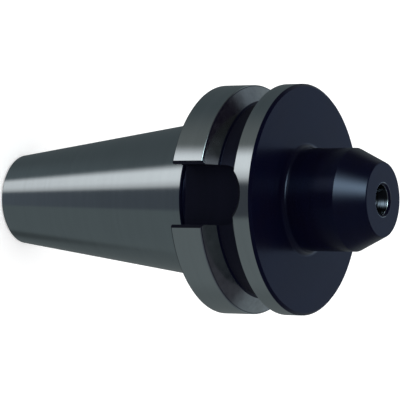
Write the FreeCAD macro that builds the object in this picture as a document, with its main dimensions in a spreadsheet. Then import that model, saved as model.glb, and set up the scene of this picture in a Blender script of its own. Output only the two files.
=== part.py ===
import FreeCAD, Part
import math
import os
import re
import Sketcher

# A side-lock end mill holder: one turned and ground steel body, with a steep
# 7 in 24 taper at the back, a flange with a gripper groove and two driving
# slots, and a short nose that takes an end mill, held by one clamp screw.
# Millimetres, +Z along the axis from the taper to the nose, with the origin
# on the axis at the gauge plane, where the taper has its gauge diameter.

document = FreeCAD.newDocument("endmill_holder")
sheet = document.addObject("Spreadsheet::Sheet", "sizes")

driving_sizes = [
    # taper
    ("gauge_diameter", 44.45, "taper diameter at the gauge plane"),
    ("taper_rise", 7, "growth of the taper's diameter"),
    ("taper_run", 24, "length over which it grows"),
    ("taper_length", 65.4, "gauge plane to the small end"),
    ("taper_chamfer", 0.5, "edge of the small end"),
    ("neck_depth", 0.6, "relief turned between taper and flange"),
    # flange
    ("flange_gap", 2, "gauge plane to the flange's rear face"),
    ("flange_thickness", 25, "rear face to front face"),
    ("flange_diameter", 63, "outside of the flange"),
    ("flange_rear_chamfer", 0.5, "edge of the rear rim"),
    ("flange_front_chamfer", 0.7, "edge of the front rim"),
    ("groove_position", 16.4, "gauge plane to the groove's centre"),
    ("groove_mouth", 10.2, "groove width at the outside"),
    ("groove_depth", 5, "outside of the flange to the groove's bottom"),
    ("groove_angle", 60, "angle between the groove's flanks"),
    ("groove_lip_break", 0.2, "edges between the flanks and the rims"),
    # driving slots
    ("slot_width", 16.1, "across the slot's walls"),
    ("slot_floor", 22.6, "axis to the slot's floor"),
    ("slot_reach", 23, "gauge plane to the slot's round end"),
    ("slot_chamfer", 0.9, "broken edges of the slot, measured on the rims"),
    # nose
    ("gauge_length", 50, "gauge plane to the nose face"),
    ("nose_diameter", 28, "cylinder of the nose"),
    ("nose_face_diameter", 20.2, "small end of the nose cone"),
    ("nose_cone_length", 8, "length of the nose cone"),
    ("nose_root_radius", 1.5, "fillet between nose and flange"),
    ("nose_edge_break", 0.3, "edge between cone and nose face"),
    # bores on the axis
    ("tool_diameter", 8, "bore for the end mill's shank"),
    ("tool_bore_depth", 40, "nose face to the bottom of that bore"),
    ("tool_bore_chamfer", 0.66, "mouth of the tool bore"),
    ("passage_diameter", 6.5, "coolant passage between the two bores"),
    ("stud_pilot_diameter", 17, "pilot bore for the retention knob"),
    ("stud_pilot_depth", 7, "small end to the end of the pilot"),
    ("stud_thread_diameter", 16, "outside of the knob's thread"),
    ("stud_thread_depth", 33, "small end to the last full thread"),
    ("stud_core_diameter", 14, "tap drill of the knob's thread"),
    ("stud_core_depth", 40, "small end to the end of the tap drill"),
    ("stud_chamfer", 0.5, "mouth of the pilot bore"),
    ("drill_angle", 118, "point of the tap drill"),
    # clamp screw and its hole
    ("screw_setback", 18, "nose face to the screw's axis"),
    ("screw_diameter", 7.9, "outside of the screw's thread"),
    ("screw_length", 9.7, "flat point to socket end"),
    ("screw_point_diameter", 5.5, "flat point"),
    ("screw_end_chamfer", 0.6, "socket end"),
    ("screw_core_diameter", 6.8, "tap drill of the screw's hole"),
    ("screw_clearance", 0.1, "all round between screw and hole"),
    ("screw_rest_gap", 0.1, "tool bore to the point, backed off"),
    ("screw_travel", 1.5, "from there to the flat of the shank"),
    ("socket_width", 4, "across the flats of the hexagon socket"),
    ("socket_depth", 4, "socket end to the socket's full depth"),
    ("socket_chamfer", 0.25, "mouth of the socket"),
    ("socket_drill_angle", 120, "bottom of the socket"),
]

# sizes that follow from the driving ones
derived_sizes = [
    ("gauge_radius", "gauge_diameter / 2"),
    ("taper_slope", "taper_rise / taper_run / 2"),
    ("small_end_radius", "gauge_radius - taper_length * taper_slope"),
    ("neck_radius", "gauge_radius - neck_depth"),
    ("flange_radius", "flange_diameter / 2"),
    ("flange_front", "flange_gap + flange_thickness"),
    ("groove_root_reach", "flange_radius - groove_depth"),
    ("flank_run", "groove_depth * tan(groove_angle * 0.5deg)"),
    ("groove_rear_lip", "groove_position - groove_mouth / 2"),
    ("groove_front_lip", "groove_position + groove_mouth / 2"),
    ("lip_drop", "groove_lip_break * cos(groove_angle * 0.5deg)"),
    ("lip_run", "groove_lip_break * sin(groove_angle * 0.5deg)"),
    ("slot_half_width", "slot_width / 2"),
    ("slot_end_centre", "slot_reach - slot_half_width"),
    ("slot_edge_start", "sqrt(flange_radius ^ 2 - (slot_half_width + slot_chamfer) ^ 2)"
                        " - slot_chamfer"),
    ("nose_radius", "nose_diameter / 2"),
    ("nose_cone_start", "gauge_length - nose_cone_length"),
    ("nose_cone_slope", "(nose_diameter - nose_face_diameter) / 2 / nose_cone_length"),
    ("tool_bore_radius", "tool_diameter / 2"),
    ("passage_radius", "passage_diameter / 2"),
    ("stud_core_radius", "stud_core_diameter / 2"),
    ("stud_point", "(stud_core_radius - passage_radius) / tan(drill_angle * 0.5deg)"),
    ("screw_height", "gauge_length - screw_setback"),
    ("screw_radius", "screw_diameter / 2"),
    ("screw_point_radius", "screw_point_diameter / 2"),
    ("screw_core_radius", "screw_core_diameter / 2"),
    ("screw_hole_radius", "screw_radius + screw_clearance"),
    ("screw_point_reach", "tool_bore_radius + screw_rest_gap"),
    ("screw_end_reach", "screw_point_reach + screw_length"),
    ("screw_thread_start", "screw_point_reach - screw_travel + screw_core_radius"
                           " - screw_point_radius - 2 * screw_clearance"),
    ("socket_corner_radius", "socket_width / 2 / cos(30deg)"),
]

for row, (alias, size, meaning) in enumerate(driving_sizes, start=1):
    sheet.set(f"A{row}", meaning)
    sheet.set(f"B{row}", str(size))
    sheet.setAlias(f"B{row}", alias)
for row, (alias, formula) in enumerate(derived_sizes, start=len(driving_sizes) + 2):
    sheet.set(f"A{row}", alias.replace("_", " "))
    sheet.set(f"B{row}", "=" + formula)
    sheet.setAlias(f"B{row}", alias)
document.recompute()

on_axis = "0"


def bound(expression):
    """The expression with each word that names a size pointing at the sheet."""
    return re.sub(r"[a-z]+(_[a-z]+)+", lambda word: "sizes." + word.group(), expression)


def number(expression):
    """The expression's present value, to draw a sketch near its solved shape."""
    result = sheet.evalExpression(bound(expression))
    return float(getattr(result, "Value", result))


def origin_part(body, role):
    return next(part for part in body.Origin.OriginFeatures if part.Role == role)


def new_body(name):
    body = document.addObject("PartDesign::Body", name)
    body.Label = name
    return body


def new_sketch(body, name, plane):
    sketch = body.newObject("Sketcher::SketchObject", name)
    sketch.AttachmentSupport = [(origin_part(body, plane), "")]
    sketch.MapMode = "FlatFace"
    return sketch


def shift_sketch(sketch, direction, size):
    """Moves a sketch's origin off the body's origin, by a size from the sheet."""
    sketch.setExpression(f"AttachmentOffset.Base.{direction}", bound(size))
    document.recompute()


def place_point(sketch, line, end, across, up, name):
    """Holds one end of a line at a place given by two expressions."""
    for kind, expression, letter in (("DistanceX", across, "x"), ("DistanceY", up, "y")):
        if expression == on_axis:
            axis = -2 if kind == "DistanceX" else -1
            sketch.addConstraint(Sketcher.Constraint("PointOnObject", line, end, axis))
            continue
        value = number(expression)
        index = sketch.addConstraint(Sketcher.Constraint(kind, -1, 1, line, end, value))
        sketch.renameConstraint(index, f"{name}_{letter}")
        sketch.setExpression(f"Constraints.{name}_{letter}", bound(expression))


def draw_outline(sketch, corners):
    """A closed outline of straight lines through named corners (name, across, up)."""
    points = [FreeCAD.Vector(number(across), number(up), 0) for _, across, up in corners]
    lines = []
    for start, end in zip(points, points[1:] + points[:1]):
        lines.append(sketch.addGeometry(Part.LineSegment(start, end), False))
    for line, following in zip(lines, lines[1:] + lines[:1]):
        sketch.addConstraint(Sketcher.Constraint("Coincident", line, 2, following, 1))
    for line, (name, across, up) in zip(lines, corners):
        place_point(sketch, line, 1, across, up, name)


def turn(body, kind, name, sketch, axis):
    """A Revolution or a Groove of the sketch, all the way round one of its axes."""
    feature = body.newObject(f"PartDesign::{kind}", name)
    feature.Profile = sketch
    feature.ReferenceAxis = (sketch, [axis])
    feature.Angle = 360
    sketch.Visibility = False
    document.recompute()
    return feature


def ring_edges(feature, radius, height):
    """Names of the circular edges of that radius at that height on the axis."""
    names = []
    for index, edge in enumerate(feature.Shape.Edges, start=1):
        curve = edge.Curve
        if not isinstance(curve, Part.Circle):
            continue
        same_ring = abs(curve.Radius - number(radius)) < 1e-4
        if same_ring and abs(curve.Center.z - number(height)) < 1e-4:
            names.append(f"Edge{index}")
    return names


# the holder's outside, turned in one piece
holder = new_body("holder_body")

outside_sketch = new_sketch(holder, "outside_sketch", "YZ_Plane")
draw_outline(outside_sketch, [
    ("small_end_centre", on_axis, "- taper_length"),
    ("small_end_edge", "small_end_radius - taper_chamfer", "- taper_length"),
    ("taper_start", "small_end_radius + taper_chamfer * taper_slope", "taper_chamfer - taper_length"),
    ("gauge_edge", "gauge_radius", on_axis),
    ("neck_start", "neck_radius", "neck_depth"),
    ("neck_end", "neck_radius", "flange_gap"),
    ("rear_face_edge", "flange_radius - flange_rear_chamfer", "flange_gap"),
    ("rear_rim_start", "flange_radius", "flange_gap + flange_rear_chamfer"),
    ("rear_lip", "flange_radius", "groove_rear_lip - groove_lip_break"),
    ("rear_flank", "flange_radius - lip_drop", "groove_rear_lip + lip_run"),
    ("root_start", "groove_root_reach", "groove_rear_lip + flank_run"),
    ("root_end", "groove_root_reach", "groove_front_lip - flank_run"),
    ("front_flank", "flange_radius - lip_drop", "groove_front_lip - lip_run"),
    ("front_lip", "flange_radius", "groove_front_lip + groove_lip_break"),
    ("front_rim_end", "flange_radius", "flange_front - flange_front_chamfer"),
    ("front_face_edge", "flange_radius - flange_front_chamfer", "flange_front"),
    ("nose_root", "nose_radius", "flange_front"),
    ("cone_start", "nose_radius", "nose_cone_start"),
    ("cone_end", "nose_face_diameter / 2 + nose_edge_break * nose_cone_slope",
     "gauge_length - nose_edge_break"),
    ("nose_face_edge", "nose_face_diameter / 2 - nose_edge_break", "gauge_length"),
    ("nose_centre", on_axis, "gauge_length"),
])
outside = turn(holder, "Revolution", "outside", outside_sketch, "V_Axis")

nose_root = holder.newObject("PartDesign::Fillet", "nose_root")
nose_root.Base = (outside, ring_edges(outside, "nose_radius", "flange_front"))
nose_root.Radius = number("nose_root_radius")
nose_root.setExpression("Radius", bound("nose_root_radius"))
document.recompute()

# tool bore from the front, coolant passage, and the knob's thread and pilot from the back
inside_sketch = new_sketch(holder, "inside_sketch", "YZ_Plane")
draw_outline(inside_sketch, [
    ("front_centre", on_axis, "gauge_length"),
    ("mouth_edge", "tool_bore_radius + tool_bore_chamfer", "gauge_length"),
    ("bore_start", "tool_bore_radius", "gauge_length - tool_bore_chamfer"),
    ("bore_end", "tool_bore_radius", "gauge_length - tool_bore_depth"),
    ("passage_front", "passage_radius", "gauge_length - tool_bore_depth"),
    ("passage_rear", "passage_radius", "stud_core_depth + stud_point - taper_length"),
    ("core_end", "stud_core_radius", "stud_core_depth - taper_length"),
    ("core_start", "stud_core_radius", "stud_thread_depth - taper_length"),
    ("thread_end", "stud_thread_diameter / 2", "stud_thread_depth - taper_length"),
    ("thread_start", "stud_thread_diameter / 2", "stud_pilot_depth - taper_length"),
    ("pilot_end", "stud_pilot_diameter / 2", "stud_pilot_depth - taper_length"),
    ("pilot_start", "stud_pilot_diameter / 2", "stud_chamfer - taper_length"),
    ("pilot_mouth", "stud_pilot_diameter / 2 + stud_chamfer", "- taper_length"),
    ("rear_centre", on_axis, "- taper_length"),
])
inside = turn(holder, "Groove", "inside", inside_sketch, "V_Axis")

# driving slot, milled in from the rear face to a round end in the front rim
slot_sketch = new_sketch(holder, "slot_sketch", "YZ_Plane")
shift_sketch(slot_sketch, "z", "slot_floor")
half_width = number("slot_half_width")
end_centre = number("slot_end_centre")
slot_corners = [
    FreeCAD.Vector(half_width, end_centre, 0),
    FreeCAD.Vector(half_width, 0, 0),
    FreeCAD.Vector(-half_width, 0, 0),
    FreeCAD.Vector(-half_width, end_centre, 0),
]
right_wall = slot_sketch.addGeometry(Part.LineSegment(slot_corners[0], slot_corners[1]), False)
open_end = slot_sketch.addGeometry(Part.LineSegment(slot_corners[1], slot_corners[2]), False)
left_wall = slot_sketch.addGeometry(Part.LineSegment(slot_corners[2], slot_corners[3]), False)
round_end = slot_sketch.addGeometry(Part.ArcOfCircle(
    Part.Circle(FreeCAD.Vector(0, end_centre, 0), FreeCAD.Vector(0, 0, 1), half_width),
    0, math.pi), False)
for constraint in (
    ("Coincident", right_wall, 2, open_end, 1),
    ("Coincident", open_end, 2, left_wall, 1),
    ("Tangent", left_wall, 2, round_end, 2),
    ("Tangent", round_end, 1, right_wall, 1),
    ("Vertical", right_wall),
    ("Vertical", left_wall),
    ("PointOnObject", open_end, 1, -1),
    ("PointOnObject", open_end, 2, -1),
    ("PointOnObject", round_end, 3, -2),
):
    slot_sketch.addConstraint(Sketcher.Constraint(*constraint))
for name, constraint, size in (
    ("end_radius", ("Radius", round_end), "slot_half_width"),
    ("end_height", ("DistanceY", -1, 1, round_end, 3), "slot_end_centre"),
):
    index = slot_sketch.addConstraint(Sketcher.Constraint(*constraint, number(size)))
    slot_sketch.renameConstraint(index, name)
    slot_sketch.setExpression(f"Constraints.{name}", bound(size))

slot = holder.newObject("PartDesign::Pocket", "slot")
slot.Profile = slot_sketch
slot.Type = 1
slot.Reversed = True
slot_sketch.Visibility = False
document.recompute()

# broken edges of the slot: along its walls on the rear rim, and round its end in the front rim
wall_edge_sketch = new_sketch(holder, "wall_edge_sketch", "XY_Plane")
wall_flare = "(flange_radius - slot_edge_start)"
draw_outline(wall_edge_sketch, [
    ("inner_right", "slot_edge_start - slot_chamfer", "slot_chamfer - slot_half_width"),
    ("outer_right", "flange_radius + slot_chamfer",
     f"- slot_half_width - {wall_flare} - slot_chamfer"),
    ("outer_left", "flange_radius + slot_chamfer",
     f"slot_half_width + {wall_flare} + slot_chamfer"),
    ("inner_left", "slot_edge_start - slot_chamfer", "slot_half_width - slot_chamfer"),
])
wall_edges = holder.newObject("PartDesign::Pocket", "wall_edges")
wall_edges.Profile = wall_edge_sketch
wall_edges.Type = 0
wall_edges.Length = number("slot_end_centre")
wall_edges.setExpression("Length", bound("slot_end_centre"))
wall_edges.Reversed = True
wall_edge_sketch.Visibility = False
document.recompute()

end_edge_sketch = new_sketch(holder, "end_edge_sketch", "XZ_Plane")
shift_sketch(end_edge_sketch, "y", "slot_end_centre")
draw_outline(end_edge_sketch, [
    ("axis_inner", "flange_radius - 2 * slot_chamfer", on_axis),
    ("axis_outer", "flange_radius + slot_chamfer", on_axis),
    ("cone_outer", "flange_radius + slot_chamfer", "slot_half_width + 2 * slot_chamfer"),
    ("cone_inner", "flange_radius - 2 * slot_chamfer", "slot_half_width - slot_chamfer"),
])
end_edge = turn(holder, "Groove", "end_edge", end_edge_sketch, "H_Axis")

both_slots = holder.newObject("PartDesign::PolarPattern", "both_slots")
both_slots.Originals = [slot, wall_edges, end_edge]
both_slots.Axis = (origin_part(holder, "Z_Axis"), [""])
both_slots.Angle = 360
both_slots.Occurrences = 2
holder.Tip = both_slots
document.recompute()

# tapped hole for the clamp screw, across the nose from the -Y side
hole_sketch = new_sketch(holder, "hole_sketch", "YZ_Plane")
shift_sketch(hole_sketch, "y", "screw_height")
draw_outline(hole_sketch, [
    ("hole_centre", on_axis, on_axis),
    ("core_inner", on_axis, "screw_core_radius"),
    ("core_outer", "- screw_thread_start", "screw_core_radius"),
    ("thread_inner", "- screw_thread_start", "screw_hole_radius"),
    ("thread_outer", "- nose_radius - nose_root_radius", "screw_hole_radius"),
    ("mouth_centre", "- nose_radius - nose_root_radius", on_axis),
])
screw_hole = turn(holder, "Groove", "screw_hole", hole_sketch, "H_Axis")


# clamp screw, backed off to just outside the tool bore
screw = new_body("clamp_screw")

shank_sketch = new_sketch(screw, "shank_sketch", "YZ_Plane")
shift_sketch(shank_sketch, "y", "screw_height")
point_cone = "screw_point_reach + screw_radius - screw_point_radius"
draw_outline(shank_sketch, [
    ("point_centre", "- screw_point_reach", on_axis),
    ("point_edge", "- screw_point_reach", "screw_point_radius"),
    ("thread_start", f"- ( {point_cone} )", "screw_radius"),
    ("thread_end", "screw_end_chamfer - screw_end_reach", "screw_radius"),
    ("end_edge", "- screw_end_reach", "screw_radius - screw_end_chamfer"),
    ("end_centre", "- screw_end_reach", on_axis),
])
shank = turn(screw, "Revolution", "shank", shank_sketch, "H_Axis")

# hexagon socket with a drilled bottom and a broken mouth
socket_sketch = new_sketch(screw, "socket_sketch", "XZ_Plane")
shift_sketch(socket_sketch, "y", "screw_height")
shift_sketch(socket_sketch, "z", "screw_end_reach")
draw_outline(socket_sketch, [
    ("east", "socket_corner_radius", on_axis),
    ("north_east", "socket_corner_radius / 2", "socket_width / 2"),
    ("north_west", "- socket_corner_radius / 2", "socket_width / 2"),
    ("west", "- socket_corner_radius", on_axis),
    ("south_west", "- socket_corner_radius / 2", "- socket_width / 2"),
    ("south_east", "socket_corner_radius / 2", "- socket_width / 2"),
])
socket = screw.newObject("PartDesign::Pocket", "socket")
socket.Profile = socket_sketch
socket.Type = 0
socket.Length = number("socket_depth")
socket.setExpression("Length", bound("socket_depth"))
socket_sketch.Visibility = False
document.recompute()

mouth_sketch = new_sketch(screw, "mouth_sketch", "YZ_Plane")
shift_sketch(mouth_sketch, "y", "screw_height")
mouth_rim = "socket_corner_radius + socket_chamfer"
draw_outline(mouth_sketch, [
    ("end_centre", "- screw_end_reach", on_axis),
    ("mouth_edge", "- screw_end_reach", mouth_rim),
    ("cone_point", f"{mouth_rim} - screw_end_reach", on_axis),
])
mouth = turn(screw, "Groove", "mouth", mouth_sketch, "H_Axis")

drill_sketch = new_sketch(screw, "drill_sketch", "YZ_Plane")
shift_sketch(drill_sketch, "y", "screw_height")
drill_reach = "socket_width / 2 / tan(socket_drill_angle * 0.5deg)"
draw_outline(drill_sketch, [
    ("floor_centre", "socket_depth - screw_end_reach", on_axis),
    ("floor_edge", "socket_depth - screw_end_reach", "socket_width / 2"),
    ("drill_point", f"socket_depth - screw_end_reach + {drill_reach}", on_axis),
])
drill = turn(screw, "Groove", "drill", drill_sketch, "H_Axis")

# every object has to have solved, and each piece has to be one valid solid
document.recompute()
for item in document.Objects:
    if "Invalid" in item.State or "Error" in item.State:
        raise RuntimeError(f"{item.Name} didn't build: {item.State}")

os.makedirs("parts", exist_ok=True)
for body in (holder, screw):
    shape = body.Shape
    if shape.isNull() or not shape.isValid() or len(shape.Solids) != 1:
        raise RuntimeError(f"{body.Label} isn't one valid solid")
    shape.exportStep(f"parts/{body.Label}.step")
    box = shape.BoundBox
    print(f"{body.Label}: {shape.Volume:.1f} mm3, {len(shape.Faces)} faces,"
          f" {box.XLength:.2f} x {box.YLength:.2f} x {box.ZLength:.2f} mm")
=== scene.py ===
import math

import bpy
import numpy as np
from mathutils import Matrix, Vector


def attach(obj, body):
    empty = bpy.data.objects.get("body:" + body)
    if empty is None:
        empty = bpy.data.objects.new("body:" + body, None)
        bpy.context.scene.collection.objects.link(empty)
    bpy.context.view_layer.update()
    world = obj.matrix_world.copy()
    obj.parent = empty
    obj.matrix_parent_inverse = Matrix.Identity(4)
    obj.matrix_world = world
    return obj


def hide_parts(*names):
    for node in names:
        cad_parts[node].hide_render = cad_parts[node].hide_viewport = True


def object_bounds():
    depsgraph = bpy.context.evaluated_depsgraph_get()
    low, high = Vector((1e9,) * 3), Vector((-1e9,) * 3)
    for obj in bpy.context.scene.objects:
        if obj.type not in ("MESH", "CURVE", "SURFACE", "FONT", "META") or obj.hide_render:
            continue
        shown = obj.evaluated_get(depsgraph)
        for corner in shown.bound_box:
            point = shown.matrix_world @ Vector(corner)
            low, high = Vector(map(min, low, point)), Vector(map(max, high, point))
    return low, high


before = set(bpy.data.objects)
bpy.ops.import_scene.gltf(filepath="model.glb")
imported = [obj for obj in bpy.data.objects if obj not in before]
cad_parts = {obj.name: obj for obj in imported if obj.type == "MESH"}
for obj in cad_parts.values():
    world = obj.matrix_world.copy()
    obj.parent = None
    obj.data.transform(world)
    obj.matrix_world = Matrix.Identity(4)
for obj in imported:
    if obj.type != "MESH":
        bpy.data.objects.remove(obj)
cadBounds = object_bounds()
scene = bpy.context.scene
scene.view_settings.view_transform = "Standard"
mm = 0.001  # the holder's sizes below are in millimetres, Blender's are in metres
print("frame loaded:", sorted(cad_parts))

# Camera: the photograph looks at the holder with its axis level and the nose to the right, from
# 30.5 degrees in front of square-on. Here the holder stands upright, so the camera lies on its side.
photoView = {
    "axisAngle": 59.458,      # between the line of sight and the holder's axis
    "roll": 0.097,            # tilt of the axis in the picture
    "slotTurn": 2.65,         # the near driving slot is turned this far up from the camera's side
    "distance": 693.5,        # camera to the gauge plane, along the line of sight
    "across": 5.849,          # gauge plane right of the middle of the picture
    "down": -0.129,           # and below it
    "focalPixels": 2502.7,    # focal length in pixels of the 400 pixel frame
    "framePixels": 400,
    "sensor": 36.0,
}


def cameraAxes(view):
    # rows are the holder's X, Y and Z axes, seen by the camera as (right, down, away)
    tilt = math.radians(view["axisAngle"])
    turn = math.radians(view["slotTurn"])
    roll = math.radians(view["roll"])
    towardsNose = np.array((math.sin(tilt), 0.0, -math.cos(tilt)))
    towardsCamera = np.array((-math.cos(tilt), 0.0, -math.sin(tilt)))
    upwards = np.array((0.0, -1.0, 0.0))
    axisX = math.cos(turn) * towardsCamera + math.sin(turn) * upwards
    axisY = np.cross(towardsNose, axisX)
    rows = np.array((axisX, axisY, towardsNose))
    rolled = np.array(((math.cos(roll), -math.sin(roll), 0.0),
                       (math.sin(roll), math.cos(roll), 0.0),
                       (0.0, 0.0, 1.0)))
    return rows @ rolled.T


def addCamera(view):
    axes = cameraAxes(view)
    gauge = np.array((view["across"], view["down"], view["distance"]))
    place = -axes @ gauge * mm
    camera = bpy.data.objects.new("camera", bpy.data.cameras.new("camera"))
    right, down, away = (Vector(axes[:, column]) for column in range(3))
    turned = Matrix((right, -down, -away)).transposed().to_4x4()
    camera.matrix_world = Matrix.Translation(Vector(place)) @ turned
    camera.data.sensor_fit = "HORIZONTAL"
    camera.data.sensor_width = view["sensor"]
    camera.data.lens = view["focalPixels"] / view["framePixels"] * view["sensor"]
    camera.data.clip_start = 0.01
    camera.data.clip_end = 20
    bpy.context.collection.objects.link(camera)
    scene.camera = camera
    return camera


camera = addCamera(photoView)
print("camera placed")


class Signal:
    # one value in a node tree, that Python's own operators work on
    def __init__(self, tree, socket):
        self.tree = tree
        self.socket = socket

    def node(self, kind, settings=None, values=None, output=0):
        # any node: its settings first, then the values or links of its sockets
        made = self.tree.nodes.new(kind)
        for name, setting in (settings or {}).items():
            setattr(made, name, setting)
        for name, value in (values or {}).items():
            if isinstance(value, Signal):
                self.tree.links.new(value.socket, made.inputs[name])
            else:
                made.inputs[name].default_value = value
        return Signal(self.tree, made.outputs[output])

    def math(self, operation, first, second=0.0, third=0.0):
        return self.node("ShaderNodeMath", {"operation": operation}, {0: first, 1: second, 2: third})

    def __add__(self, other):
        return self.math("ADD", self, other)

    def __radd__(self, other):
        return self.math("ADD", other, self)

    def __sub__(self, other):
        return self.math("SUBTRACT", self, other)

    def __rsub__(self, other):
        return self.math("SUBTRACT", other, self)

    def __mul__(self, other):
        return self.math("MULTIPLY", self, other)

    def __rmul__(self, other):
        return self.math("MULTIPLY", other, self)

    def __truediv__(self, other):
        return self.math("DIVIDE", self, other)

    def __rtruediv__(self, other):
        return self.math("DIVIDE", other, self)

    def __pow__(self, other):
        return self.math("POWER", self, other)

    def __abs__(self):
        return self.math("ABSOLUTE", self)

    def __neg__(self):
        return self.math("MULTIPLY", self, -1.0)

    def least(self, other):
        return self.math("MINIMUM", self, other)

    def most(self, other):
        return self.math("MAXIMUM", self, other)

    def root(self):
        return self.math("SQRT", self)

    def step(self, low, high):
        # 0 below low, 1 above high, smooth between
        return self.node("ShaderNodeMapRange", {"interpolation_type": "SMOOTHSTEP", "clamp": True},
                         {"Value": self, "From Min": low, "From Max": high})

    def nearTo(self, value):
        # 1 where this value is the given whole number
        return self.math("COMPARE", self, value, 0.5)

    def blend(self, first, second):
        # a colour between two, by this value; each is a colour or a Signal
        ends = [colour if isinstance(colour, Signal) else (*colour, 1.0) for colour in (first, second)]
        return self.node("ShaderNodeMix", {"data_type": "RGBA"},
                         {0: self, 6: ends[0], 7: ends[1]}, output=2)

    def noise(self, coordinates, scale, detail=2.0):
        return self.node("ShaderNodeTexNoise", None,
                         {"Vector": coordinates, "Scale": scale, "Detail": detail})

    def scaled(self, colour):
        # a colour made darker or lighter by this value
        return self.node("ShaderNodeVectorMath", {"operation": "SCALE"}, {0: colour, 3: self})


def newMaterial(name):
    material = bpy.data.materials.new(name)
    material.use_nodes = True
    tree = material.node_tree
    shader = next(node for node in tree.nodes if node.type == "BSDF_PRINCIPLED")
    anchor = Signal(tree, None)
    place = anchor.node("ShaderNodeTexCoord", output=3)
    parts = place.node("ShaderNodeSeparateXYZ", None, {0: place})
    x, y, z = (Signal(tree, parts.socket.node.outputs[axis]) * (1 / mm) for axis in range(3))
    return material, tree, shader, place, x, y, z


def feed(tree, shader, **inputs):
    for name, value in inputs.items():
        socket = shader.inputs[name.replace("_", " ")]
        if isinstance(value, Signal):
            tree.links.new(value.socket, socket)
        elif socket.type == "RGBA":
            socket.default_value = (*value, 1.0)
        else:
            socket.default_value = value


# Holder: one piece of steel, turned, milled, black all over from the oxide bath, then ground
# bright where it seats, is gripped or takes the shank. Millimetres, with the axis upright.
# Its finishes are a number on each face; from bright on they are bare steel, before it oxide.
black, milled, oiled, bright, turned, boredPaintedDark = range(6)
holderForm = {
    # (radius, height, rounding of the corner, finish from there on), round the section with the
    # steel on the left, first up the outside and then down through the bores
    "section": (
        (9.0, -65.4, 0.0, black),
        (12.1875, -65.4, 0.1, black),
        (12.7604, -64.9, 0.1, bright),
        (22.18, -0.31, 0.0, black),
        (22.225, 0.0, 0.1, black),
        (21.625, 0.6, 0.3, black),
        (21.625, 2.0, 0.3, black),
        (31.0, 2.0, 0.1, black),
        (31.5, 2.5, 0.1, bright),
        (31.5, 11.3, 0.36, bright),
        (31.3, 11.4155, 0.0, black),       # the flank is black along both edges: a thin strip at the lip, and at the root a strip of painted shade for the dark crease
        (31.12, 11.5194, 0.0, turned),
        # painted shade: this black strip on the flank's foot stands for the dark crease at the
        # groove's root
        (27.2, 13.7826, 0.0, black),
        (26.5, 14.1868, 0.3, milled),
        (26.5, 18.6132, 0.3, turned),
        (31.5, 21.5, 0.25, bright),
        (31.5, 26.3, 0.1, black),
        (30.8, 27.0, 0.1, black),
        (14.0, 27.0, 1.5, oiled),
        (14.0, 28.6, 0.0, black),
        (14.0, 42.0, 0.15, oiled),
        (10.1, 50.0, 0.35, black),
        (4.66, 50.0, 0.12, bright),
        (4.6, 49.94, 0.0, black),
        (4.0, 49.34, 0.3, bright),
        # from here down the bore's wall is steel painted dark, for the shade inside the bore
        (4.0, 49.1, 0.0, boredPaintedDark),
        (4.0, 10.0, 0.0, black),
        (3.25, 10.0, 0.0, black),
        (3.25, -23.147, 0.0, black),
        (7.0, -25.4, 0.0, black),
        (7.0, -32.4, 0.0, black),
        (8.0, -32.4, 0.0, black),
        (8.0, -58.4, 0.0, black),
        (8.5, -58.4, 0.0, bright),
        (8.5, -64.9, 0.0, black),
    ),
    "around": 360,                # divisions round the axis
    "drillAround": 96,            # round the screw's hole
    "threadAround": 72,           # and round each turn of the knob's thread
    "arcStep": 11.0,              # degrees of each step along a rounding
    "flangeRadius": 31.5,
    "slotHalfWidth": 8.05,
    "slotFloor": 22.6,
    "slotReach": 23.0,
    "slotFlare": 0.9,             # broken edge of the slot, measured on the rim
    "slotFloorBreak": 0.35,       # and where its floor runs out through the rear face
    "rearFace": 2.0,
    "screwHeight": 32.0,
    # (radius, distance from the holder's axis) along the wall of the screw's hole
    "screwHole": ((3.4, -0.5), (3.4, 3.05), (4.05, 3.05), (4.05, 13.7), (4.6, 14.25), (4.6, 16.0)),
    "knobThread": (-58.4, -32.4),
    "knobPitch": 2.0,
    # (radius, height from the ridge's middle)
    "knobRidge": ((8.06, -0.91), (7.0, -0.3), (7.0, 0.3), (8.06, 0.91)),
}


def runsOfSection(form):
    # Straight runs with an arc at each rounded corner: along the arc the heading turns evenly,
    # and both the normal and the step from the arc's start follow from the heading.
    corners = np.array(form["section"])
    place, rounding, finish = corners[:, :2], corners[:, 2], corners[:, 3]
    leaving = np.roll(place, -1, axis=0) - place
    headingOut = np.arctan2(leaving[:, 1], leaving[:, 0])
    headingIn = np.roll(headingOut, 1)
    turn = (headingOut - headingIn + np.pi) % (2 * np.pi) - np.pi
    cut = rounding * abs(np.tan(turn / 2))
    points, arriving, departing, shine = [], [], [], []
    for corner in range(len(corners)):
        steps = math.ceil(abs(math.degrees(turn[corner])) / form["arcStep"])
        steps = max(steps, 2) if rounding[corner] else 0
        heading = headingIn[corner] + turn[corner] * np.linspace(0, 1, steps + 1)
        normal = np.stack((np.sin(heading), -np.cos(heading)), axis=1)
        back = np.array((math.cos(headingIn[corner]), math.sin(headingIn[corner])))
        arc = math.copysign(rounding[corner], turn[corner]) * (normal - normal[0])
        points.append(place[corner] - cut[corner] * back + arc)
        arriving.append(normal)
        after = (math.sin(headingOut[corner]), -math.cos(headingOut[corner]))
        departing.append(np.concatenate((normal[:-1], [after])))
        shine.append(np.full(steps + 1, finish[corner]))
    points, arriving, departing = (np.concatenate(part) for part in (points, arriving, departing))
    return {"start": points, "end": np.roll(points, -1, axis=0), "startNormal": departing,
            "endNormal": np.roll(arriving, -1, axis=0), "finish": np.concatenate(shine)}


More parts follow.
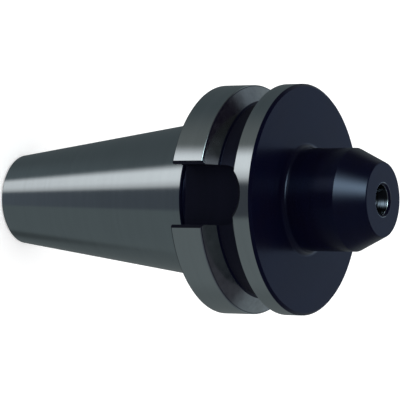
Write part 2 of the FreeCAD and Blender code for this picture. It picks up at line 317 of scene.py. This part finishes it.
def turnedGrid(outline, angles, shut, lead=0.0):
    # Each point (radius, height) of the outline goes round the axis, and climbs by the lead in
    # each full turn: x = r cos a, y = r sin a, z = h + lead a / 2 pi.
    outline = np.asarray(outline, float)
    rows, columns = len(outline), len(angles)
    radius = outline[..., 0] if outline.ndim == 3 else outline[:, :1]
    height = outline[..., 1] if outline.ndim == 3 else outline[:, 1:]
    height = height + lead * angles / (2 * np.pi)
    points = np.stack((radius * np.cos(angles), radius * np.sin(angles), height), axis=-1)
    row, column = np.meshgrid(np.arange(rows), np.arange(columns - (0 if shut else 1)), indexing="ij")
    nextRow, nextColumn = (row + 1) % rows, (column + 1) % columns
    faces = np.stack((row * columns + column, row * columns + nextColumn,
                      nextRow * columns + nextColumn, nextRow * columns + column), axis=-1)
    return points.reshape(-1, 3), faces.reshape(-1, 4), row.ravel()


def meshObject(name, points, faces, code):
    mesh = bpy.data.meshes.new(name)
    mesh.from_pydata((np.asarray(points) * mm).tolist(), [], faces)
    mesh.attributes.new("run", "INT", "FACE").data.foreach_set("value", np.asarray(code, np.int32))
    made = bpy.data.objects.new(name, mesh)
    bpy.context.collection.objects.link(made)
    return made


# Each face knows its run: a turned one its number along the section, a cut one a number from here.
slotFloorRun, slotWallRun, slotFlareRun, slotBreakRun = range(900, 904)
holeRun, stepRun, sinkRun, ridgeRun = range(904, 908)  # the ridge's four strips go on from the last


def slotCutter(form):
    # Outline of two walls joined by a half circle, w = half width: y = w cos t, z = centre + w sin t.
    # It is carried outwards from the floor, and past the start of the flare it widens as it goes.
    half, flare = form["slotHalfWidth"], form["slotFlare"]
    turn = np.linspace(0, np.pi, 73)
    outY = np.concatenate(([1.0], np.cos(turn), [-1.0]))
    outZ = np.concatenate(([0.0], np.sin(turn), [0.0]))
    y = half * outY
    z = form["slotReach"] - half + half * outZ
    z[[0, -1]] = form["rearFace"] - 3
    flareStart = np.sqrt(form["flangeRadius"] ** 2 - ((half + flare) * outY) ** 2) - flare
    outer = form["flangeRadius"] + 1.5
    widen = outer - flareStart
    rings = np.stack((
        np.stack((np.full_like(y, form["slotFloor"]), y, z), axis=-1),
        np.stack((flareStart, y, z), axis=-1),
        np.stack((np.full_like(y, outer), y + outY * widen, z + outZ * widen), axis=-1)))
    count = len(y)
    sides = []
    for ring in (0, 1):
        here = np.arange(count)
        after = (here + 1) % count
        sides.append(np.stack((here, after, after + count, here + count), axis=-1) + ring * count)
    faces = np.concatenate(sides).tolist()
    faces += [list(range(count))[::-1], list(range(2 * count, 3 * count))]
    code = [slotWallRun] * count + [slotFlareRun] * count + [slotFloorRun, slotFlareRun]
    points = rings.reshape(-1, 3)
    both = np.concatenate((points, points * (-1, -1, 1)))
    faces += [[corner + len(points) for corner in face] for face in faces]
    return meshObject("slot_cutter", both, faces, code * 2)


def edgeCutter(form):
    # Drill for the clamp screw, turned about -Y: x = r cos a, z = height + r sin a, y = -reach;
    # and a wedge across each slot that breaks the edge of its floor.
    outline, around = form["screwHole"], form["drillAround"]
    angles = np.linspace(0, 2 * np.pi, around + 1)[:-1] + 0.01
    points, faces, row = turnedGrid(outline, angles, True)
    keep = row < len(outline) - 1
    points = np.stack((points[:, 0], -points[:, 2], points[:, 1] + form["screwHeight"]), axis=-1)
    inner, outer = list(range(around))[::-1], list(range(len(points) - around, len(points)))
    faces = faces[keep].tolist() + [inner, outer]
    code = [(holeRun, stepRun, holeRun, sinkRun, holeRun)[step] for step in row[keep]] + [holeRun] * 2

    size, floor, rear = form["slotFloorBreak"], form["slotFloor"], form["rearFace"]
    triangle = np.array(((floor + 0.2, rear + size + 0.2), (floor - size - 0.2, rear - 0.2),
                         (floor + 0.2, rear - 0.2)))
    half = form["slotHalfWidth"] - 0.02
    wedge = np.array([(x, y, z) for y in (-half, half) for x, z in triangle])
    wedgeFaces = np.array(((0, 1, 4), (0, 4, 3), (1, 2, 5), (1, 5, 4),
                           (2, 0, 3), (2, 3, 5), (2, 1, 0), (3, 4, 5)))
    for side in (1, -1):
        faces += (wedgeFaces + len(points)).tolist()
        points = np.concatenate((points, wedge * (side, side, 1)))
        code += [slotBreakRun] * len(wedgeFaces)
    return meshObject("edge_cutter", points, faces, code)


def cutAway(piece, cutter):
    cut = piece.modifiers.new("cut", "BOOLEAN")
    cut.operation = "DIFFERENCE"
    cut.solver = "EXACT"
    cut.object = cutter
    shown = piece.evaluated_get(bpy.context.evaluated_depsgraph_get())
    result = bpy.data.meshes.new_from_object(shown)
    piece.modifiers.clear()
    old = piece.data
    piece.data = result
    bpy.data.meshes.remove(old)
    tool = cutter.data
    bpy.data.objects.remove(cutter)
    bpy.data.meshes.remove(tool)


def meshArrays(mesh):
    points = np.empty(len(mesh.vertices) * 3)
    mesh.vertices.foreach_get("co", points)
    corners = np.empty(len(mesh.loops), int)
    mesh.loops.foreach_get("vertex_index", corners)
    sizes = np.empty(len(mesh.polygons), int)
    mesh.polygons.foreach_get("loop_total", sizes)
    code = np.empty(len(mesh.polygons), int)
    mesh.attributes["run"].data.foreach_get("value", code)
    return points.reshape(-1, 3) / mm, corners, sizes, code


def cornerNormals(form, runs, points, code):
    # The true normal of the turned or milled surface at each corner: on a turned run it goes from
    # the run's first normal to its last with the distance along it, turned to the point's angle.
    radius = np.hypot(points[:, 0], points[:, 1])
    cosine, sine = points[:, 0] / radius, points[:, 1] / radius
    run = np.where(code < slotFloorRun, code, 0)
    along = runs["end"][run] - runs["start"][run]
    offset = np.stack((radius, points[:, 2]), axis=1) - runs["start"][run]
    share = np.clip((offset * along).sum(1) / (along ** 2).sum(1), 0, 1)[:, None]
    flat = runs["startNormal"][run] * (1 - share) + runs["endNormal"][run] * share
    normals = np.stack((flat[:, 0] * cosine, flat[:, 0] * sine, flat[:, 1]), axis=1)

    side = np.sign(points[:, 0])
    centre = form["slotReach"] - form["slotHalfWidth"]
    rise = np.maximum(points[:, 2] - centre, 0)
    reach = np.hypot(points[:, 1], rise) + 1e-9
    away = -np.stack((np.zeros_like(rise), points[:, 1], rise), axis=1) / reach[:, None]
    outward = np.stack((side, 0 * side, 0 * side), axis=1)
    beside = np.stack((points[:, 0], 0 * side, points[:, 2] - form["screwHeight"]), axis=1)
    beside /= np.linalg.norm(beside, axis=1)[:, None] + 1e-9
    for name, value in ((slotFloorRun, outward), (slotWallRun, away), (slotFlareRun, away + outward),
                        (slotBreakRun, outward - (0, 0, 1)), (holeRun, -beside),
                        (stepRun, beside * 0 - (0, 1, 0)), (sinkRun, -beside - (0, 1, 0))):
        normals[code == name] = value[code == name]
    for strip in range(4):
        ridge = np.asarray(form["knobRidge"])
        step = ridge[(strip + 1) % 4] - ridge[strip]
        here = code == ridgeRun + strip
        facing = np.array((step[1], -step[0]))
        whole = np.stack((facing[0] * cosine, facing[0] * sine, 0 * sine + facing[1]), axis=1)
        normals[here] = whole[here]
    return normals / np.linalg.norm(normals, axis=1)[:, None]


def knobThread(form):
    # The ridge's outline climbs one pitch a turn, and sinks into the wall over the last half turns.
    low, high = form["knobThread"]
    turns = (high - low) / form["knobPitch"] - 1
    angles = np.linspace(0, 2 * np.pi * turns, round(turns * form["threadAround"]) + 1)
    ridge = np.asarray(form["knobRidge"])
    fade = np.minimum(np.minimum(angles, angles[-1] - angles) / np.pi, 1)
    radius = ridge[0, 0] - np.outer(ridge[0, 0] - ridge[:, 0], fade)
    height = low + form["knobPitch"] / 2 + np.outer(ridge[:, 1], np.ones_like(angles))
    return turnedGrid(np.stack((radius, height), axis=-1), angles, False, form["knobPitch"])


def holderPiece(form):
    runs = runsOfSection(form)
    angles = np.linspace(0, 2 * np.pi, form["around"] + 1)[:-1] + 0.004
    points, faces, row = turnedGrid(runs["start"], angles, True)
    piece = meshObject("end_mill_holder", points, faces.tolist(), row)
    cutAway(piece, slotCutter(form))
    cutAway(piece, edgeCutter(form))
    points, corners, sizes, code = meshArrays(piece.data)
    ridgePoints, ridgeFaces, strip = knobThread(form)
    corners = np.concatenate((corners, ridgeFaces.ravel() + len(points)))
    points = np.concatenate((points, ridgePoints))
    sizes = np.concatenate((sizes, np.full(len(ridgeFaces), 4)))
    code = np.concatenate((code, strip + ridgeRun))

    mesh = bpy.data.meshes.new("end_mill_holder")
    mesh.vertices.add(len(points))
    mesh.vertices.foreach_set("co", (points * mm).ravel())
    mesh.loops.add(len(corners))
    mesh.loops.foreach_set("vertex_index", corners)
    mesh.polygons.add(len(sizes))
    mesh.polygons.foreach_set("loop_start", np.cumsum(sizes) - sizes)
    mesh.update(calc_edges=True)
    isTurned = code < slotFloorRun
    finish = np.where(isTurned, runs["finish"][np.where(isTurned, code, 0)], black)
    finish[(code >= slotFloorRun) & (code <= slotBreakRun)] = milled
    mesh.attributes.new("finish", "FLOAT", "FACE").data.foreach_set("value", finish)
    mesh.polygons.foreach_set("material_index", (finish >= bright).astype(np.int32))
    facing = cornerNormals(form, runs, points[corners], np.repeat(code, sizes))
    mesh.normals_split_custom_set(facing.tolist())
    old = piece.data
    piece.data = mesh
    bpy.data.meshes.remove(old)
    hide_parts("holder_body")
    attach(piece, "holder")
    return piece


steelLook = {
    "ground": (0.50, 0.55, 0.575),
    "groundRoughness": 0.12,
    "turned": (0.305, 0.325, 0.35),  # flanks of the groove, which keep their tool marks
    "turnedRoughness": 0.14,
    "linesPerMm": 5.0,             # tool and grinding lines, which run round the axis
    "lineTilt": 0.02,              # how far they tip the surface, as a slope
    "turnedTilt": 0.05,
    # painted shade: the bore's steel gets this dark colour for the shade inside the bore
    "boredPaintedDark": (0.028, 0.031, 0.038),
    "boreTilt": 0.33,              # the bore's fine grooves, whose flanks face its mouth
    "streak": 0.05,                # how much the steel darkens and lightens along the lines
}
oxideLook = {
    "base": (0.0016, 0.0019, 0.0094),
    "warm": (0.0022, 0.0019, 0.008),  # what the oxide drifts to in broad soft patches
    "milled": (0.004, 0.0038, 0.0085),
    "roughness": 0.23,
    "gloss": 0.2,
    "tint": (0.45, 0.6, 1.0),
    "oilFilm": 0.2,
    "linesPerMm": 3.5,
    "lineTilt": 0.03,
}


def toolLines(place, x, y, z, linesPerMm):
    # Rings about the axis: noise along z and the radius, that changes only slowly round it.
    radius = (x * x + y * y).root()
    along = z * linesPerMm + radius * (linesPerMm * 0.78)
    fine = place.node("ShaderNodeCombineXYZ", None, {0: x * 0.05, 1: y * 0.05, 2: along})
    broad = place.node("ShaderNodeCombineXYZ", None, {0: x * 0.03, 1: y * 0.03, 2: along * 0.16})
    return radius, fine.noise(fine, 1.0, 3.0), broad.noise(broad, 1.0, 2.0)


def tilted(place, x, y, radius, tilt):
    # the surface's normal, tipped along the profile of the turned surface
    around = radius.most(0.01)
    lean = place.node("ShaderNodeCombineXYZ", None,
                      {0: x / around * tilt, 1: y / around * tilt, 2: tilt})
    flat = place.node("ShaderNodeNewGeometry", output=1)
    both = place.node("ShaderNodeVectorMath", {"operation": "ADD"}, {0: flat, 1: lean})
    return place.node("ShaderNodeVectorMath", {"operation": "NORMALIZE"}, {0: both})


def groundMaterial(look):
    material, tree, shader, place, x, y, z = newMaterial("ground_steel")
    finish = place.node("ShaderNodeAttribute", {"attribute_name": "finish"}, output=2)
    isTurned, isBored = finish.nearTo(turned), finish.nearTo(boredPaintedDark)
    radius, fine, broad = toolLines(place, x, y, z, look["linesPerMm"])
    cloud = place.noise(place, 90.0, 4.0)
    blotch = place.noise(place, 520.0, 3.0)
    shade = 1 + (broad - 0.5) * look["streak"] * 2 + (cloud - 0.5) * look["streak"]
    shade = shade + isTurned * (blotch - 0.5) * 0.5
    rough = look["groundRoughness"] + isTurned * (look["turnedRoughness"] - look["groundRoughness"])
    tilt = look["lineTilt"] + isTurned * look["turnedTilt"] + isBored * look["boreTilt"]
    # the bore's faces take the dark colour of painted shade; the others are ground or turned steel
    coloured = isBored.blend(isTurned.blend(look["ground"], look["turned"]), look["boredPaintedDark"])
    feed(tree, shader,
         Base_Color=shade.scaled(coloured),
         Metallic=1.0,
         Roughness=rough + (broad - 0.5) * 0.05 + (blotch - 0.5) * (0.02 + isTurned * 0.12),
         Normal=tilted(place, x, y, radius, (fine - 0.5) * tilt + isBored * look["boreTilt"]))
    return material


def oxideMaterial(look):
    material, tree, shader, place, x, y, z = newMaterial("black_oxide")
    finish = place.node("ShaderNodeAttribute", {"attribute_name": "finish"}, output=2)
    isMilled, isOiled = finish.nearTo(milled), finish.nearTo(oiled)
    radius, fine, broad = toolLines(place, x, y, z, look["linesPerMm"])
    cloud = place.noise(place, 90.0, 4.0)
    speckle = place.noise(place, 1400.0, 2.0)
    coloured = cloud.step(0.35, 0.7).blend(look["base"], look["warm"])
    coloured = isMilled.blend(coloured, look["milled"])
    rough = look["roughness"] + (cloud - 0.5) * 0.06 + (speckle - 0.5) * 0.05 + isMilled * 0.08
    rough = rough + z.step(49.6, 49.9) * 0.07
    feed(tree, shader,
         Base_Color=(1 + (broad - 0.5) * 0.4).scaled(coloured),
         Roughness=rough,
         Coat_Weight=isOiled * look["oilFilm"],
         Coat_Roughness=0.15,
         Specular_IOR_Level=look["gloss"],
         Specular_Tint=look["tint"],
         Normal=tilted(place, x, y, radius, (fine - 0.5) * look["lineTilt"]))
    return material


holder = holderPiece(holderForm)
holder.data.materials.append(oxideMaterial(oxideLook))
holder.data.materials.append(groundMaterial(steelLook))
print("holder finished:", len(holder.data.polygons), "faces")

# Clamp screw: a socket set screw with a flat point, lying across the nose. Millimetres from the
# holder's axis, along the screw's own.
screwForm = {
    "pointEnd": 4.1,
    "pointRadius": 2.75,
    "socketEnd": 13.8,
    "endBreak": 0.55,
    "crest": 3.94,
    "core": 3.33,
    "pitch": 1.25,
    "socketHalfWidth": 2.0,
    "socketMouth": 2.559,
    "socketDepth": 4.0,
    "drillDepth": 5.15,
    "around": 96,
    "rowStep": 0.06,
    "height": 32.0,
}


def screwPiece(form):
    # The thread is r = core + ridge(t / pitch - a / 2 pi), kept inside the cones of both ends; the
    # socket's rings go from a circle to a hexagon, r = half width / cos(a from the nearest flat).
    angle = np.linspace(0, 2 * np.pi, form["around"] + 1)[:-1]
    rows = round((form["socketEnd"] - form["pointEnd"]) / form["rowStep"])
    reach = np.linspace(form["pointEnd"], form["socketEnd"], rows + 1)[:, None]
    phase = (reach / form["pitch"] - angle / (2 * np.pi)) % 1
    ridge = np.clip((0.4375 - abs(phase - 0.5)) / 0.3125, 0, 1)
    radius = form["core"] + (form["crest"] - form["core"]) * ridge
    radius = np.minimum(radius, form["pointRadius"] + reach - form["pointEnd"])
    radius = np.minimum(radius, form["crest"] - form["endBreak"] + form["socketEnd"] - reach)

    flatHalf = form["socketHalfWidth"]
    hexagon = flatHalf / np.cos(angle % (np.pi / 3) - np.pi / 6)
    even = np.ones_like(angle)
    top, floor = form["socketEnd"], form["socketEnd"] - form["socketDepth"]
    socket = ((form["socketMouth"] * even, top * even),
              (hexagon, top - form["socketMouth"] + hexagon),
              (hexagon, floor * even),
              (flatHalf * even, floor * even))
    radius = np.concatenate((radius, [ring[0] for ring in socket]))
    reach = np.concatenate((reach * even, [ring[1] for ring in socket]))
    count = form["around"]
    across, height = radius * np.cos(angle), form["height"] + radius * np.sin(angle)
    points = np.stack((across, -reach, height), axis=-1)
    ends = [(0, -form["pointEnd"], form["height"]), (0, form["drillDepth"] - top, form["height"])]
    row, column = np.meshgrid(np.arange(len(radius) - 1), np.arange(count), indexing="ij")
    after = (column + 1) % count
    faces = np.stack((row * count + column, row * count + after,
                      (row + 1) * count + after, (row + 1) * count + column), axis=-1)
    first, last = len(radius) * count, len(radius) * count + 1
    here, following = np.arange(count), (np.arange(count) + 1) % count
    edge = (len(radius) - 1) * count
    fans = np.concatenate((np.stack((following, here, here * 0 + first), axis=-1),
                           np.stack((here + edge, following + edge, here * 0 + last), axis=-1)))
    mesh = bpy.data.meshes.new("set_screw")
    allPoints = np.concatenate((points.reshape(-1, 3), ends))
    mesh.from_pydata((allPoints * mm).tolist(), [], faces.reshape(-1, 4).tolist() + fans.tolist())
    mesh.polygons.foreach_set("use_smooth", np.ones(len(mesh.polygons), bool))
    mesh.set_sharp_from_angle(angle=math.radians(25))
    piece = bpy.data.objects.new("set_screw", mesh)
    bpy.context.collection.objects.link(piece)
    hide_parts("clamp_screw")
    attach(piece, "screw")
    return piece


def screwMaterial(look):
    material, tree, shader, place, x, y, z = newMaterial("blackened_screw")
    cloud = place.noise(place, 300.0, 3.0)
    feed(tree, shader,
         Base_Color=cloud.step(0.3, 0.7).blend(look["base"], look["milled"]),
         Roughness=look["roughness"] + (cloud - 0.5) * 0.2,
         Specular_IOR_Level=0.5)
    return material


clampScrew = screwPiece(screwForm)
clampScrew.data.materials.append(screwMaterial(oxideLook))
print("clamp screw finished:", len(clampScrew.data.polygons), "faces")

# Studio: a pale floor and an even white light. Only the steel's reflections show what stands round
# the holder: a bright panel between grey screens, a dark ceiling, a lamp and a pale blue wall.
# Angles are round the holder from the camera's side, upwards in the picture, and above the level.
studio = {
    "floorSize": 12.0,
    "floorColour": (0.93, 0.93, 0.93),
    "floorLift": 0.36,             # what the camera alone sees on top, to make the floor white
    "panel": (18.3, 49.4),         # edges of the bright panel 30 degrees below the level
    "panelLean": (0.1, 0.3),       # how they move for each degree further down
    "panelSoft": (4.5, 8.0),
    "panelLevel": (0.86, 0.047, 1.1),  # 51 degrees down, its rise for each degree, and its top
    # in each pair of colours: near the level and far down
    "screenLow": ((0.118, 0.138, 0.142), (0.163, 0.182, 0.183)),
    "screenGap": ((0.075, 0.086, 0.1), (0.062, 0.068, 0.078)),
    "screenHigh": ((0.08, 0.096, 0.102), (0.165, 0.176, 0.172)),
    "lamp": (32.0, 22.0, 19.0, 9.0, (8.2, 10.1, 10.3)),  # place, half sizes and colour
    # in each pair of colours: on the upper side in the picture, and on the lower
    "ceiling": ((0.01, 0.0072, 0.017), (0.074, 0.075, 0.088)),
    "wallSide": ((0.255, 0.295, 0.32), (0.28, 0.32, 0.33)),
    "wallLow": (0.29, 0.33, 0.335),
    "wallBehind": (0.4, 0.51, 0.67),
    "front": ((0.04, 0.042, 0.04), (0.085, 0.095, 0.11)),
    # angles between which one part goes over into the next
    "level": (-22, -8),            # screens below, room above
    "deep": (-46, -31),            # far down, and near the level
    "gapEdge": (-21, -15),         # low screen and gap
    "gapRise": (49.2, 52.5),       # the gap gets lighter far down, and so does the high screen
    "highRise": (44, 49),
    "highEnd": (55, 108),
    "lowEnd": (85, 115),           # the low screen gets darker behind, and has a dark corner
    "lowCorner": ((92, 106), (41.5, 43.5)),
    "side": (118, 145),            # front and side walls
    "behind": (155, 172),          # side walls and the wall behind
    "lowWall": (5, 20),
    "ceilingEdge": (24, 38.5),
}


def addFloor(look):
    half = look["floorSize"] / 2
    level = cadBounds[0][2]
    grid = np.linspace(-half, half, 3)
    across, along = np.meshgrid(grid, grid)
    points = np.stack((across, along, np.full_like(across, level)), axis=-1).reshape(-1, 3)
    index = np.arange(9).reshape(3, 3)
    faces = np.stack((index[:-1, :-1], index[:-1, 1:], index[1:, 1:], index[1:, :-1]), axis=-1)
    mesh = bpy.data.meshes.new("floor")
    mesh.from_pydata(points.tolist(), [], faces.reshape(-1, 4).tolist())
    floor = bpy.data.objects.new("floor", mesh)
    bpy.context.collection.objects.link(floor)
    material, tree, shader, place, x, y, z = newMaterial("pale_floor")
    seen = place.node("ShaderNodeLightPath", output=0)
    feed(tree, shader,
         Base_Color=look["floorColour"],
         Roughness=0.9,
         Specular_IOR_Level=0.0,
         Emission_Color=seen.blend((0.0, 0.0, 0.0), (1.0, 1.0, 1.0)),
         Emission_Strength=look["floorLift"])
    mesh.materials.append(material)
    floor.visible_glossy = False
    return floor


def spot(around, height, shape):
    # a soft round patch: 1 in the middle, falling off with the distance as a share of its size
    middle, level, wide, tall = shape[:4]
    distance = ((around - middle) / wide) ** 2 + ((height - level) / tall) ** 2
    return around.math("EXPONENT", -distance)


def reflectedScreens(around, height, look):
    # what stands below the level: low screen, gap, panel, high screen
    below = -30 - height
    near = look["panel"][0] + below.most(0) * look["panelLean"][0]
    far = look["panel"][1] + below.most(-12) * look["panelLean"][1]
    nearSoft, farSoft = look["panelSoft"]
    deep = 1 - height.step(*look["deep"])
    low = deep.blend(look["screenLow"][1], look["screenLow"][0])
    cornerAround, cornerDown = look["lowCorner"]
    shade = 1 - (-around).step(*look["lowEnd"]) * 0.18
    corner = (-around).step(*cornerAround) * (-height).step(*cornerDown)
    low = (shade - corner * 0.3).scaled(low)
    gap = deep.blend(look["screenGap"][1], look["screenGap"][0])
    gap = ((-height).step(*look["gapRise"]) * 0.5 + 1).scaled(gap)
    lit = (1 - around.step(*look["highEnd"])) * (1 - deep)
    high = lit.blend(look["screenHigh"][0], look["screenHigh"][1])
    high = ((-height).step(*look["highRise"]) * 0.45 + 1).scaled(high)
    screens = around.step(*look["gapEdge"]).blend(low, gap)
    screens = (around - far).step(-farSoft, farSoft).blend(screens, high)
    start, rise, top = look["panelLevel"]
    level = ((height + 51) * rise + start).least(top).most(0.8)
    level = level * (0.62 + 0.38 * (around - near).step(0, 15))
    panel = (around - near).step(-nearSoft, nearSoft) * (1 - (around - far).step(-farSoft, farSoft))
    return panel.blend(screens, level.scaled((1.0, 1.0, 1.0)))


def reflectedRoom(around, height, look):
    # what stands above the level: dark front, lamp, side walls, blue wall behind, dark ceiling
    above = around.step(-12, 12)
    front = above.blend(look["front"][1], look["front"][0])
    aside = abs(around).step(*look["side"])
    side = above.blend(look["wallSide"][1], look["wallSide"][0])
    wall = height.step(*look["lowWall"]).blend(look["wallLow"], side)
    wall = abs(around).step(*look["behind"]).blend(wall, look["wallBehind"])
    wall = (height.step(-6, 7) * 0.4 + 0.6).scaled(wall)
    room = aside.blend(front, wall)
    ceiling = above.blend(look["ceiling"][1], look["ceiling"][0])
    room = height.step(*look["ceilingEdge"]).blend(room, ceiling)
    return spot(around, height, look["lamp"]).blend(room, look["lamp"][4])


def addSurround(look, view):
    world = bpy.data.worlds.new("studio")
    world.use_nodes = True
    scene.world = world
    tree = world.node_tree
    background = next(node for node in tree.nodes if node.type == "BACKGROUND")
    anchor = Signal(tree, None)
    direction = anchor.node("ShaderNodeTexCoord", output=0)
    parts = anchor.node("ShaderNodeSeparateXYZ", None, {0: direction})
    x, y, z = (Signal(tree, parts.socket.node.outputs[axis]) for axis in range(3))
    turn = math.radians(view["slotTurn"])
    towards = x * math.cos(turn) + y * math.sin(turn)
    upward = x * math.sin(turn) - y * math.cos(turn)
    around = anchor.math("ARCTAN2", upward, towards) * math.degrees(1)
    height = anchor.math("ARCSINE", z) * math.degrees(1)
    shown = height.step(*look["level"]).blend(reflectedScreens(around, height, look),
                                              reflectedRoom(around, height, look))
    glossy = anchor.node("ShaderNodeLightPath", output=3)
    tree.links.new(glossy.blend((1.0, 1.0, 1.0), shown).socket, background.inputs["Color"])
    background.inputs["Strength"].default_value = 1.0
    return world


addFloor(studio)
addSurround(studio, photoView)
print("studio set")
